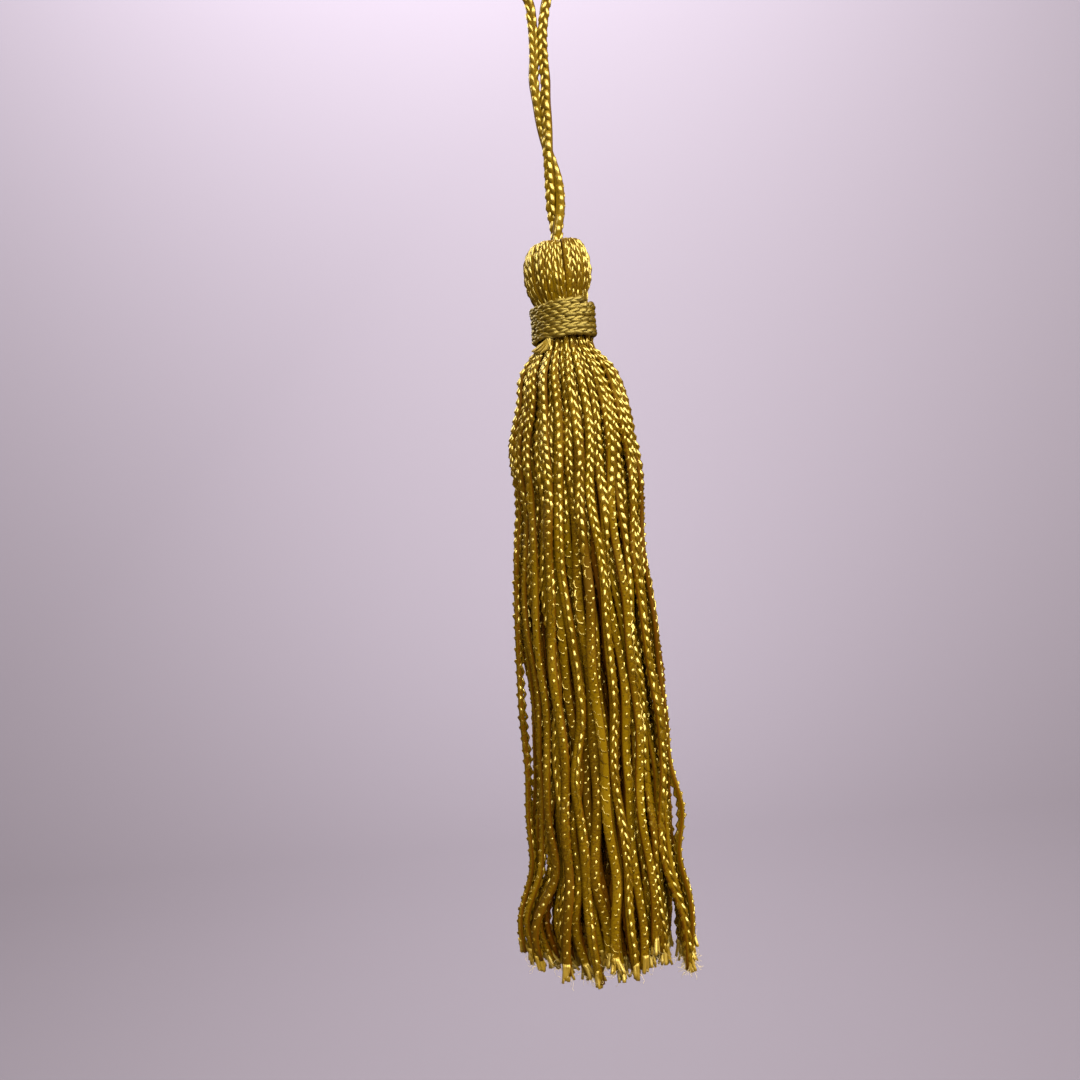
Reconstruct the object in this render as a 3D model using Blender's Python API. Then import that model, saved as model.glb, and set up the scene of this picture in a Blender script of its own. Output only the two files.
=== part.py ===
"""A hanging silk tassel: a bundle of knitted silk strands folded over a hanging loop and bound at the neck.

The frame is in metres, +Z up, and the tassel hangs plumb down -Z from its loop. The origin is the point at the
top of the loop, on its inner side, where a hook or a finger carries it. -Y is the front, +X is to the right.

Three solids:
  silk_bundle   the ribbed head, the neck and the cut strands of the skirt, fused at the neck
  neck_binding  the cord wound round the neck, as one ridged collar
  hanging_loop  the doubled cord that comes up out of the dimple in the head
"""

import math

import bmesh
import bpy
import numpy as np

MM = 0.001
TURN = 2 * math.pi

# ---- driving dimensions, in millimetres -------------------------------------------------------------------

STRANDS = 76  # cut strands in the skirt
STRAND_ROOM = 0.93  # least distance between two strands, as a share of an even spacing at that height
STRAND_FILL = 0.46  # centre to corner of a strand's square section, as a share of that least distance
STRAND_LIMIT = 0.92  # and never more than this
ROOT_EMBED = 1.0  # length of each strand inside the neck
STRAND_SIDES = 4

NECK_FOOT = -75.6  # height of the neck's underside, where the strands leave it
END_SCATTER = 0.9  # how far a cut end may lie above or below its neighbours

RIBS = 34  # strands that show round the head
RIB_HEIGHT = 0.24
CLEFT_DEPTH = 0.07  # share of the radius that the cleft at the front and back takes away
CLEFT_WIDTH = 0.20  # its half-width, in radians

COILS = 6  # turns of the binding
BINDING_SIDES = 40
BINDING_X = 0.2  # the neck and its binding stand this far to the right
BINDING_BORE = 5.35
BINDING_VALLEY = 5.58  # radius between two turns
BINDING_RIDGE = 6.02  # radius on the crest of a turn
BINDING_FOOT = -74.85
BINDING_HEIGHT = 7.60
BINDING_RISE = 0.60  # how much taller it is at the right, and shorter at the left

LOOP_CORD = 1.75  # diameter of the loop's cord
LOOP_SPACING = 1.02  # from the loop's middle line to each leg
LOOP_SEAT = -57.6  # height of the legs' ends, in the head's dimple
BIGHT_RADIUS = 3.6  # of the rounded top of the loop
LOOP_POINTS_APART = 3.9

# ---- short tables, in millimetres -------------------------------------------------------------------------

# The head, from the floor of its dimple over the crown and down to the neck: half-widths across and in depth,
# how much higher the right side stands than the middle, and the left side lower, and the middle itself.
HEAD = [
    {"z": -58.00, "across": 1.30, "depth": 2.20, "tilt": 0.00, "x": 0.2},
    {"z": -57.00, "across": 1.40, "depth": 2.40, "tilt": 0.10, "x": 0.2},
    {"z": -56.25, "across": 2.05, "depth": 2.95, "tilt": 0.25, "x": 0.1},
    {"z": -55.90, "across": 3.20, "depth": 3.75, "tilt": 0.35, "x": 0.0},
    {"z": -56.15, "across": 4.55, "depth": 4.65, "tilt": 0.30, "x": -0.1},
    {"z": -57.40, "across": 5.45, "depth": 5.40, "tilt": 0.25, "x": -0.1},
    {"z": -59.20, "across": 6.10, "depth": 5.95, "tilt": 0.15, "x": -0.2},
    {"z": -61.20, "across": 6.32, "depth": 6.15, "tilt": 0.20, "x": -0.2},
    {"z": -63.20, "across": 6.22, "depth": 6.05, "tilt": 0.40, "x": -0.1},
    {"z": -64.90, "across": 5.90, "depth": 5.75, "tilt": 0.55, "x": -0.1},
    {"z": -66.30, "across": 5.35, "depth": 5.30, "tilt": 0.60, "x": 0.0},
    {"z": -67.30, "across": 5.00, "depth": 5.00, "tilt": 0.60, "x": BINDING_X},
    {"z": -75.05, "across": 5.00, "depth": 5.00, "tilt": 0.00, "x": BINDING_X},
    {"z": NECK_FOOT, "across": 5.50, "depth": 5.50, "tilt": 0.00, "x": BINDING_X},
]
CROWN_ROW = 3  # the highest row of the head's table

# The skirt: how far its outermost strands hang from the plumb line, to the left, to the right and in depth.
SKIRT = [
    {"z": -75.6, "left": 4.75, "right": 5.15, "depth": 4.95},
    {"z": -77.2, "left": 6.10, "right": 6.45, "depth": 5.65},
    {"z": -82.0, "left": 8.95, "right": 10.15, "depth": 7.40},
    {"z": -87.5, "left": 9.55, "right": 11.40, "depth": 8.20},
    {"z": -95.0, "left": 11.60, "right": 11.90, "depth": 8.70},
    {"z": -103.0, "left": 10.80, "right": 11.80, "depth": 8.90},
    {"z": -118.0, "left": 12.45, "right": 12.70, "depth": 9.10},
    {"z": -132.0, "left": 12.25, "right": 13.60, "depth": 9.40},
    {"z": -142.0, "left": 12.85, "right": 14.25, "depth": 9.60},
    {"z": -152.0, "left": 12.90, "right": 14.00, "depth": 9.80},
    {"z": -162.0, "left": 13.60, "right": 13.60, "depth": 10.00},
    {"z": -172.0, "left": 13.05, "right": 14.25, "depth": 10.30},
    {"z": -181.0, "left": 15.85, "right": 15.50, "depth": 10.80},
    {"z": -192.0, "left": 14.85, "right": 15.50, "depth": 11.20},
]

# The cut ends: how low the strands at each place across the skirt hang.
ENDS = [
    {"x": -16.0, "z": -187.5},
    {"x": -10.8, "z": -187.9},
    {"x": -9.5, "z": -189.2},
    {"x": -7.5, "z": -190.9},
    {"x": -5.5, "z": -188.9},
    {"x": -3.0, "z": -191.0},
    {"x": -0.3, "z": -189.3},
    {"x": 2.7, "z": -191.0},
    {"x": 5.9, "z": -188.7},
    {"x": 8.3, "z": -187.9},
    {"x": 10.8, "z": -190.6},
    {"x": 12.0, "z": -193.2},
    {"x": 16.0, "z": -192.6},
]

# Partings between locks of the skirt: where each lies across the skirt, where it starts, where it is widest and
# where it closes, and how far it moves the strands beside it.
PARTINGS = [
    {"x": -11.6, "top": -131.0, "widest": -145.0, "foot": -158.0, "push": 1.30},
    {"x": -10.4, "top": -166.0, "widest": -184.0, "foot": -230.0, "push": 1.20},
    {"x": -5.3, "top": -170.0, "widest": -187.0, "foot": -230.0, "push": 1.40},
    {"x": 0.1, "top": -158.0, "widest": -170.0, "foot": -182.0, "push": 1.40},
    {"x": 10.1, "top": -172.0, "widest": -189.0, "foot": -230.0, "push": 1.50},
]
PARTING_REACH = 4.2  # how far from a parting the strands still make way for it

# Strands that leave their neighbours in a bow: the seat of each in the skirt's round plan, of radius 1.
STRAYS = [
    {"across": 1.05, "deep": -0.20, "z": -163.5, "out": 2.2, "length": 6.5},
    {"across": 0.85, "deep": 0.04, "z": -163.5, "out": 1.4, "length": 12.0},
    {"across": 0.84, "deep": 0.36, "z": -163.5, "out": 1.0, "length": 12.0},
    {"across": 0.78, "deep": -0.44, "z": -163.5, "out": 0.8, "length": 12.0},
]

# The loop, from its top down to the dimple: the middle line between its legs, and how far they have wound.
LOOP = [
    {"z": -12.0, "x": -0.05, "turned": 0.00, "spacing": 1.45},
    {"z": -17.0, "x": -0.45, "turned": 0.00, "spacing": LOOP_SPACING},
    {"z": -26.0, "x": -0.75, "turned": 0.03, "spacing": LOOP_SPACING},
    {"z": -32.0, "x": -0.60, "turned": 0.09, "spacing": LOOP_SPACING},
    {"z": -38.5, "x": -0.15, "turned": 0.25, "spacing": LOOP_SPACING},
    {"z": -44.0, "x": 0.45, "turned": 0.42, "spacing": LOOP_SPACING},
    {"z": -48.5, "x": 0.50, "turned": 0.53, "spacing": LOOP_SPACING},
    {"z": -54.0, "x": 0.25, "turned": 0.72, "spacing": LOOP_SPACING},
    {"z": LOOP_SEAT, "x": 0.00, "turned": 0.75, "spacing": LOOP_SPACING},
]

# Heights at which the strands are laid out.
STATIONS = [NECK_FOOT - 0.2, -77.4, -80.5, -85.5, -93.5, -103.0, -116.0, -130.0, -144.0, -155.0, -163.5, -172.0]
STATIONS += [-181.0, -190.5]


# ---- smooth curves through the tables ---------------------------------------------------------------------


def smooth(xs, ys, x):
    """The value at x of a curve through the points (xs, ys), level with the chord of each point's neighbours."""
    xs, ys = np.asarray(xs, float), np.asarray(ys, float)
    if xs[0] > xs[-1]:
        xs, ys = xs[::-1], ys[::-1]
    slopes = np.gradient(ys, xs)
    x = np.clip(x, xs[0], xs[-1])
    i = np.clip(np.searchsorted(xs, x) - 1, 0, len(xs) - 2)
    step = xs[i + 1] - xs[i]
    t = (x - xs[i]) / step
    return (
        (2 * t**3 - 3 * t**2 + 1) * ys[i]
        + (t**3 - 2 * t**2 + t) * step * slopes[i]
        + (3 * t**2 - 2 * t**3) * ys[i + 1]
        + (t**3 - t**2) * step * slopes[i + 1]
    )


def column(table, name, z):
    """A column of a table, read at height z."""
    return smooth([row["z"] for row in table], [row[name] for row in table], z)


def ramp(x, start, end):
    """0 before start, 1 after end, and a smooth rise between them."""
    t = np.clip((x - start) / (end - start), 0, 1)
    return t * t * (3 - 2 * t)


# ---- the skirt's strands ----------------------------------------------------------------------------------


def seats():
    """Each strand's place in the skirt's round plan, of radius 1: spaced evenly, as on a sunflower."""
    i = np.arange(STRANDS)
    radius = np.sqrt((i + 0.5) / STRANDS)
    angle = i * math.pi * (3 - math.sqrt(5))
    return np.stack([radius * np.cos(angle), radius * np.sin(angle)], axis=1)


SEATS = seats()
_random = np.random.default_rng(11)
END_OFFSET = _random.uniform(-END_SCATTER, END_SCATTER, STRANDS)
WANDER_PHASE = _random.uniform(0, TURN, (STRANDS, 4))
WANDER_WAVE = _random.uniform(34, 60, (STRANDS, 2))  # length of one wave
WANDER_REACH = 0.45  # how far a strand waves by itself
SHARED_REACH = 0.7  # how far neighbours wave together
SHARED_WAVE = 58.0
SETTLING_STEPS = 120


def parting_shift(x, z):
    """How far the partings push a strand at x sideways, at height z."""
    shift = 0.0
    for parting in PARTINGS:
        opened = ramp(-z, -parting["top"], -parting["widest"])
        opened *= 1 - ramp(-z, -parting["widest"], -parting["foot"])
        away = x - parting["x"]
        beside = max(0.0, 1 - abs(away) / PARTING_REACH)
        shift += math.copysign(parting["push"], away) * opened * beside
    return shift


def stray_index(stray):
    """The strand whose seat is nearest to a stray's."""
    return int(np.argmin(np.hypot(SEATS[:, 0] - stray["across"], SEATS[:, 1] - stray["deep"])))


STRAY_OF = {stray_index(stray): stray for stray in STRAYS}


def loose_strand(i, z):
    """Where strand i would hang at height z if the others were not there, as (x, y)."""
    u, v = SEATS[i]
    free = ramp(-z, -NECK_FOOT, -NECK_FOOT + 30)
    x = u * column(SKIRT, "right" if u > 0 else "left", z)
    y = v * column(SKIRT, "depth", z)
    inner = 1 - 0.6 * (u * u + v * v)
    x += SHARED_REACH * free * inner * math.sin(TURN * z / SHARED_WAVE + 2.2 * v + 0.8 * u)
    y += SHARED_REACH * free * inner * math.sin(TURN * z / (1.3 * SHARED_WAVE) + 2.0 * u + 1.0)
    wave = TURN * z / WANDER_WAVE[i] + WANDER_PHASE[i, :2]
    x += WANDER_REACH * free * math.sin(wave[0])
    y += WANDER_REACH * free * math.sin(wave[1])
    x += parting_shift(x, z)
    if i in STRAY_OF:
        stray = STRAY_OF[i]
        x += math.copysign(stray["out"], u) * math.exp(-(((z - stray["z"]) / stray["length"]) ** 2))
    return x, y


def apart(z):
    """The least distance between the middles of two strands at height z."""
    width = column(SKIRT, "left", z) + column(SKIRT, "right", z)
    room = math.pi / 2 * width * column(SKIRT, "depth", z) / STRANDS
    return STRAND_ROOM * math.sqrt(room)


def settle(points, least):
    """Eases points that are nearer to one another than least apart, a little at a time."""
    for _ in range(SETTLING_STEPS):
        between = points[:, None] - points[None]
        distance = np.hypot(between[..., 0], between[..., 1])
        np.fill_diagonal(distance, least)
        push = np.clip(least - distance, 0, None) / 4
        points = points + (between * (push / distance)[..., None]).sum(axis=1)
    return points


def lay_out():
    """The middles of all the strands at every station, as an array [station, strand, (x, y)]."""
    rows = []
    for z in STATIONS:
        loose = np.array([loose_strand(i, z) for i in range(STRANDS)])
        rows.append(settle(loose, apart(z)))
    return np.array(rows)


LAYOUT = lay_out()


def strand_at(i, z):
    """The middle of strand i at height z, as (x, y, z) in millimetres."""
    return np.array([smooth(STATIONS, LAYOUT[:, i, 0], z), smooth(STATIONS, LAYOUT[:, i, 1], z), z])


def strand_end(i):
    """How low strand i hangs."""
    x = LAYOUT[-1, i, 0]
    return float(np.interp(x, [row["x"] for row in ENDS], [row["z"] for row in ENDS])) + END_OFFSET[i]


def strand_radius(z):
    """Centre to corner of a strand's section: squeezed at the neck, fuller as the skirt opens."""
    return min(STRAND_LIMIT, STRAND_FILL * apart(z))


def add_prism(bm, middles, radii, sides, turned):
    """Adds to bm a closed prism of level sections round the given middles."""
    rings = []
    for middle, radius in zip(middles, radii):
        ring = []
        for k in range(sides):
            angle = turned + TURN * k / sides
            corner = middle + radius * np.array([math.cos(angle), math.sin(angle), 0])
            ring.append(bm.verts.new(corner * MM))
        rings.append(ring)
    for upper, lower in zip(rings, rings[1:]):
        for k in range(sides):
            bm.faces.new([upper[k], lower[k], lower[(k + 1) % sides], upper[(k + 1) % sides]])
    bm.faces.new(rings[0])
    bm.faces.new(rings[-1][::-1])


def build_skirt():
    """All the strands, each a prism of its own, reaching a little way up into the neck."""
    bm = bmesh.new()
    for i in range(STRANDS):
        heights = [NECK_FOOT + ROOT_EMBED] + STATIONS[:-1] + [strand_end(i)]
        middles = [strand_at(i, z) for z in heights]
        middles[0][:2] = middles[1][:2] * 0.9
        radii = [strand_radius(z) for z in heights]
        add_prism(bm, middles, radii, STRAND_SIDES, WANDER_PHASE[i, 2])
    bmesh.ops.recalc_face_normals(bm, faces=bm.faces)
    return to_object(bm, "skirt_strands")


# ---- the head ---------------------------------------------------------------------------------------------


def head_ring(row, index):
    """One ribbed ring of the head: two points a rib, the rib's crest and the groove beside it."""
    ring = []
    above = index <= CROWN_ROW + 4
    ribbed = 0 < index < len(HEAD) - 3
    for k in range(2 * RIBS):
        angle = TURN * k / (2 * RIBS)
        rib = RIB_HEIGHT * (0.5 if k % 2 == 0 else -0.5) * ribbed * min(1.0, row["across"] / 5)
        from_cleft = min(abs(math.remainder(angle - side, TURN)) for side in (math.pi / 2, -math.pi / 2))
        cleft = CLEFT_DEPTH * math.exp(-((from_cleft / CLEFT_WIDTH) ** 2)) if above else 0.0
        x = row["x"] + (row["across"] * (1 - cleft) + rib) * math.cos(angle)
        y = (row["depth"] * (1 - cleft) + rib) * math.sin(angle)
        z = row["z"] + row["tilt"] * math.cos(angle)
        ring.append((x * MM, y * MM, z * MM))
    return ring


def build_head():
    """The ribbed head with the neck below it, closed at the dimple's floor and at the neck's underside."""
    bm = bmesh.new()
    rings = [[bm.verts.new(point) for point in head_ring(row, index)] for index, row in enumerate(HEAD)]
    bridge(bm, rings)
    bm.faces.new(rings[0])
    bm.faces.new(rings[-1][::-1])
    bmesh.ops.recalc_face_normals(bm, faces=bm.faces)
    return to_object(bm, "silk_bundle")


def bridge(bm, rings):
    """Joins each ring of points to the next with quads."""
    for upper, lower in zip(rings, rings[1:]):
        count = len(upper)
        for k in range(count):
            bm.faces.new([upper[k], lower[k], lower[(k + 1) % count], upper[(k + 1) % count]])


# ---- the binding ------------------------------------------------------------------------------------------


def binding_profile():
    """(radius, share of the height) round the collar's section: up the bore, then down over the turns."""
    profile = [(BINDING_BORE, 0.0), (BINDING_BORE, 1.0)]
    for turn in range(COILS):
        top = 1 - turn / COILS
        profile.append((BINDING_VALLEY, top))
        profile.append((BINDING_RIDGE, top - 0.25 / COILS))
        profile.append((BINDING_RIDGE, top - 0.75 / COILS))
    profile.append((BINDING_VALLEY, 0.0))
    return profile


def build_binding():
    """The ridged collar round the neck, taller at the right than at the left."""
    bm = bmesh.new()
    profile = binding_profile()
    sections = []
    for k in range(BINDING_SIDES):
        angle = TURN * k / BINDING_SIDES
        height = BINDING_HEIGHT + BINDING_RISE * math.cos(angle)
        section = []
        for radius, share in profile:
            z = BINDING_FOOT + height * share
            x = BINDING_X + radius * math.cos(angle)
            section.append(bm.verts.new((x * MM, radius * math.sin(angle) * MM, z * MM)))
        sections.append(section)
    bridge(bm, sections + [sections[0]])
    bmesh.ops.recalc_face_normals(bm, faces=bm.faces)
    return to_object(bm, "neck_binding")


# ---- the hanging loop -------------------------------------------------------------------------------------


def leg_at(z, side):
    """A point on one of the loop's two legs; side is +1 or -1."""
    angle = TURN * column(LOOP, "turned", z)
    spacing = column(LOOP, "spacing", z) * side
    return [column(LOOP, "x", z) + spacing * math.cos(angle), -spacing * math.sin(angle), z]


def loop_route():
    """The loop's middle line: up one leg, round the bight and down the other."""
    top = LOOP_CORD / 2  # the cord's middle line passes this far above the bearing point
    first = LOOP[0]
    heights = np.linspace(LOOP_SEAT, first["z"], 24)
    up = [leg_at(z, -1) for z in heights]
    down = [leg_at(z, 1) for z in heights[::-1]]
    centre = top - BIGHT_RADIUS
    arc = []
    for k in range(9):
        angle = math.pi * (1 - k / 8)
        arc.append([BIGHT_RADIUS * math.cos(angle), 0.0, centre + BIGHT_RADIUS * math.sin(angle)])
    shoulder = [-3.15, 0.0, centre - 4.0]
    return up + [shoulder] + arc + [[-shoulder[0], 0.0, shoulder[2]]] + down


def even_points(route, apart):
    """Points about that far apart along a smooth curve through the route."""
    route = np.array(route, float)
    along = np.concatenate([[0], np.cumsum(np.linalg.norm(np.diff(route, axis=0), axis=1))])
    count = max(2, round(along[-1] / apart)) + 1
    at = np.linspace(0, along[-1], count)
    return np.stack([smooth(along, route[:, k], at) for k in range(3)], axis=1)


def build_loop():
    """The loop as one round cord with capped ends."""
    points = even_points(loop_route(), LOOP_POINTS_APART)
    curve = bpy.data.curves.new("hanging_loop", "CURVE")
    curve.dimensions = "3D"
    curve.bevel_depth = LOOP_CORD / 2 * MM
    curve.bevel_resolution = 2
    curve.use_fill_caps = True
    spline = curve.splines.new("POLY")
    spline.points.add(len(points) - 1)
    for place, point in zip(spline.points, points):
        place.co = (*(point * MM), 1)
    loop = bpy.data.objects.new("hanging_loop", curve)
    bpy.context.scene.collection.objects.link(loop)
    return loop


# ---- objects and materials --------------------------------------------------------------------------------


def to_object(bm, name):
    """Turns bm into a mesh object in the scene."""
    mesh = bpy.data.meshes.new(name)
    bm.to_mesh(mesh)
    bm.free()
    made = bpy.data.objects.new(name, mesh)
    bpy.context.scene.collection.objects.link(made)
    return made


def silk(name, colour, roughness):
    """A lustrous dyed silk."""
    material = bpy.data.materials.new(name)
    material.use_nodes = True
    shader = material.node_tree.nodes["Principled BSDF"]
    shader.inputs["Base Color"].default_value = (*colour, 1)
    shader.inputs["Roughness"].default_value = roughness
    shader.inputs["Metallic"].default_value = 0.3
    return material


def main():
    for old in list(bpy.data.objects):
        bpy.data.objects.remove(old)

    head = build_head()
    skirt = build_skirt()
    skirt.hide_render = True
    skirt.display_type = "WIRE"
    fuse = head.modifiers.new("strands_into_neck", "BOOLEAN")
    fuse.operation = "UNION"
    fuse.object = skirt

    binding = build_binding()
    binding.data.shade_smooth()
    loop = build_loop()

    head.data.materials.append(silk("skirt_yarn", (0.36, 0.24, 0.012), 0.35))
    binding.data.materials.append(silk("binding_cord", (0.45, 0.33, 0.06), 0.45))
    loop.data.materials.append(silk("loop_cord", (0.42, 0.29, 0.02), 0.35))


main()
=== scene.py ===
"""The silk tassel's looks: every strand as a knitted chain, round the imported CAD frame.

Lengths are in millimetres, unless a comment says metres, and become metres where a mesh is made. The tassel
hangs from the origin down -Z, and its front faces -Y.
"""

import math

import bmesh
import bpy
import numpy as np
from mathutils import Matrix, Vector


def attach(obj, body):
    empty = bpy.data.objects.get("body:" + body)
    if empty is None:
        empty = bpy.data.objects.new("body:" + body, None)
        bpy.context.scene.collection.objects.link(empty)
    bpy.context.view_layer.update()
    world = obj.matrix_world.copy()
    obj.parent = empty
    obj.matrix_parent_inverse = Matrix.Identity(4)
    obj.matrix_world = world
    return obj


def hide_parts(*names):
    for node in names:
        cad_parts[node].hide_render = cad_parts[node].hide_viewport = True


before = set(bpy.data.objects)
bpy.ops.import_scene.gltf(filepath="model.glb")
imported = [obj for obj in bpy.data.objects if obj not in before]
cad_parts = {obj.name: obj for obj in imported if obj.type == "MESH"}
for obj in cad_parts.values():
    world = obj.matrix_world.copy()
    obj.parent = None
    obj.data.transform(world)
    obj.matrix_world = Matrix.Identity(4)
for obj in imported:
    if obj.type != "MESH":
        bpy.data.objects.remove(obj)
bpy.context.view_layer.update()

MM = 0.001
TURN = 2 * math.pi
BODY = "root"

# ---- the layout that the CAD solids follow ----

STRANDS = 98  # cut strands in the skirt, where the solids have 76 coarser ones
STRAND_ROOM = 0.93  # least distance between two strands, as a share of an even spacing at that height

NECK_FOOT = -75.6  # height of the neck's underside
FREE_LENGTH = 30  # how far below that a strand has come to wave as it likes
END_SCATTER = 1.5  # how far a cut end may lie above or below what ENDS says

BINDING_X = 0.2  # the neck and its binding stand this far to the right
BINDING_FOOT = -74.85  # height of the binding's lower edge
BINDING_HEIGHT = 7.60
BINDING_RISE = 0.60  # how much taller it is at the right, and shorter at the left

LOOP_CORD = 1.75  # diameter of the loop's cord
LOOP_SPACING = 0.86  # from the loop's middle line to each leg, where they wind round each other
LOOP_SEAT = -57.6  # height of the legs' ends, in the head's dimple
BIGHT_RADIUS = 3.6  # of the loop's rounded top
SHOULDER_X = 3.15  # the loop's half-width at its shoulders
SHOULDER_DROP = 4.0  # how far they lie below the middle of the rounded top

# The head, from its dimple's floor over the crown down to the neck: half-widths across and in depth, how much
# higher it stands at its right than in the middle, and lower at its left, and x of its middle.
HEAD = [
    dict(z=-58.00, across=1.30, depth=2.20, tilt=0.00, x=0.2),
    dict(z=-57.00, across=1.40, depth=2.40, tilt=0.10, x=0.2),
    dict(z=-56.25, across=2.05, depth=2.95, tilt=0.25, x=0.1),
    dict(z=-55.90, across=3.20, depth=3.75, tilt=0.35, x=0.0),
    dict(z=-56.15, across=4.55, depth=4.65, tilt=0.30, x=-0.1),
    dict(z=-57.40, across=5.45, depth=5.40, tilt=0.25, x=-0.1),
    dict(z=-59.20, across=6.10, depth=5.95, tilt=0.15, x=-0.2),
    dict(z=-61.20, across=6.32, depth=6.15, tilt=0.20, x=-0.2),
    dict(z=-63.20, across=6.22, depth=6.05, tilt=0.40, x=-0.1),
    dict(z=-64.90, across=5.90, depth=5.75, tilt=0.55, x=-0.1),
    dict(z=-66.30, across=5.35, depth=5.30, tilt=0.60, x=0.0),
    dict(z=-67.30, across=5.00, depth=5.00, tilt=0.60, x=BINDING_X),
    dict(z=-75.05, across=5.00, depth=5.00, tilt=0.00, x=BINDING_X),
]

# The skirt: how far its outermost strands hang from the plumb line, to the left, to the right and in depth.
SKIRT = [
    dict(z=-75.6, left=4.75, right=5.15, depth=4.95),
    dict(z=-77.2, left=6.10, right=6.45, depth=5.65),
    dict(z=-82.0, left=8.95, right=10.15, depth=7.40),
    dict(z=-87.5, left=9.55, right=11.40, depth=8.20),
    dict(z=-95.0, left=11.60, right=11.90, depth=8.70),
    dict(z=-103.0, left=10.80, right=11.80, depth=8.90),
    dict(z=-118.0, left=12.45, right=12.70, depth=9.10),
    dict(z=-132.0, left=12.25, right=13.60, depth=9.40),
    dict(z=-142.0, left=12.85, right=14.25, depth=9.60),
    dict(z=-152.0, left=12.90, right=14.00, depth=9.80),
    dict(z=-162.0, left=13.60, right=13.60, depth=10.00),
    dict(z=-172.0, left=13.05, right=14.25, depth=10.30),
    dict(z=-181.0, left=15.85, right=15.50, depth=10.80),
    dict(z=-192.0, left=14.85, right=15.50, depth=11.20),
]

# The cut ends: how low the strands hang at each place across the skirt.
ENDS = [
    dict(x=-16.0, z=-187.5),
    dict(x=-10.8, z=-187.9),
    dict(x=-9.5, z=-189.2),
    dict(x=-7.5, z=-190.9),
    dict(x=-5.5, z=-188.9),
    dict(x=-3.0, z=-191.0),
    dict(x=-0.3, z=-189.3),
    dict(x=2.7, z=-191.0),
    dict(x=5.9, z=-188.7),
    dict(x=8.3, z=-187.9),
    dict(x=10.4, z=-188.2),
    dict(x=11.6, z=-191.8),
    dict(x=13.0, z=-192.4),
    dict(x=16.0, z=-191.2),
]

# The partings between locks: where each lies across the skirt, where it starts, is widest and closes, how far
# it pushes the strands beside it, and whether it pushes those at the front alone.
PARTINGS = [
    dict(x=-3.0, top=-104.0, widest=-128.0, foot=-154.0, push=0.95, front=True),
    dict(x=1.8, top=-110.0, widest=-126.0, foot=-148.0, push=0.80, front=True),
    dict(x=-11.6, top=-135.0, widest=-147.0, foot=-160.0, push=1.75, front=False),
    dict(x=-10.6, top=-166.0, widest=-184.0, foot=-230.0, push=1.90, front=False),
    dict(x=-5.4, top=-170.0, widest=-187.0, foot=-230.0, push=2.20, front=False),
    dict(x=0.1, top=-158.0, widest=-170.0, foot=-182.0, push=1.40, front=False),
    dict(x=12.0, top=-172.0, widest=-189.0, foot=-230.0, push=1.60, front=False),
]
PARTING_REACH = 4.2  # how far from a parting the strands still make way for it
FRONT_FROM, FRONT_ALL = 0.25, 0.60  # seats further forward than these are partly, and wholly, at the front

# Strands that bow outward: the seat of each in the skirt's round plan of radius 1, the bow's height, how far
# out it goes, and how tall it is.
STRAYS = [
    dict(across=1.05, deep=-0.20, z=-163.5, out=2.4, length=3.8),
    dict(across=0.85, deep=0.04, z=-163.5, out=1.4, length=12.0),
    dict(across=0.84, deep=0.36, z=-163.5, out=1.0, length=12.0),
    dict(across=0.78, deep=-0.44, z=-163.5, out=0.8, length=12.0),
]

# The loop, from below its top down to the dimple: x of the line midway between its legs, how many turns they
# have wound round each other, and how far each lies from that line.
LOOP = [
    dict(z=-12.0, x=-0.05, turned=0.00, spacing=1.32),
    dict(z=-17.0, x=-0.45, turned=0.00, spacing=0.85),
    dict(z=-21.0, x=-0.60, turned=0.01, spacing=0.85),
    dict(z=-25.5, x=-0.75, turned=0.03, spacing=1.16),
    dict(z=-29.5, x=-0.70, turned=0.06, spacing=0.90),
    dict(z=-32.0, x=-0.60, turned=0.09, spacing=LOOP_SPACING),
    dict(z=-38.5, x=-0.15, turned=0.25, spacing=LOOP_SPACING),
    dict(z=-44.0, x=0.45, turned=0.42, spacing=LOOP_SPACING),
    dict(z=-48.5, x=0.50, turned=0.53, spacing=LOOP_SPACING),
    dict(z=-54.0, x=0.25, turned=0.72, spacing=LOOP_SPACING),
    dict(z=LOOP_SEAT, x=0.00, turned=0.75, spacing=LOOP_SPACING),
]

# Heights at which the strands are laid out.
STATIONS = [NECK_FOOT - 0.2, -77.4, -80.5, -85.5, -93.5, -103.0, -116.0, -130.0, -144.0, -155.0, -163.5]
STATIONS += [-172.0, -181.0, -190.5]


# ---- curves ----


def smooth(xs, ys, x):
    """The value at x of a curve through (xs, ys), level at each point with the chord of its neighbours."""
    xs, ys = np.asarray(xs, float), np.asarray(ys, float)
    if xs[0] > xs[-1]:
        xs, ys = xs[::-1], ys[::-1]
    slopes = np.gradient(ys, xs)
    x = np.clip(x, xs[0], xs[-1])
    i = np.clip(np.searchsorted(xs, x) - 1, 0, len(xs) - 2)
    step = xs[i + 1] - xs[i]
    t = (x - xs[i]) / step
    return (
        (2 * t**3 - 3 * t**2 + 1) * ys[i]
        + (t**3 - 2 * t**2 + t) * step * slopes[i]
        + (3 * t**2 - 2 * t**3) * ys[i + 1]
        + (t**3 - t**2) * step * slopes[i + 1]
    )


def column(table, name, z):
    """A column of a table, read at height z."""
    return smooth([row["z"] for row in table], [row[name] for row in table], z)


def ramp(x, start, end):
    """0 before start, 1 after end, and a smooth rise between them."""
    t = np.clip((x - start) / (end - start), 0, 1)
    return t * t * (3 - 2 * t)


def unit(vectors):
    """The vectors, each made 1 long."""
    return vectors / np.maximum(np.linalg.norm(vectors, axis=-1, keepdims=True), 1e-12)


def travelled(path):
    """The length of the path up to each of its points."""
    return np.concatenate([[0], np.cumsum(np.linalg.norm(np.diff(path, axis=0), axis=1))])


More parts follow.
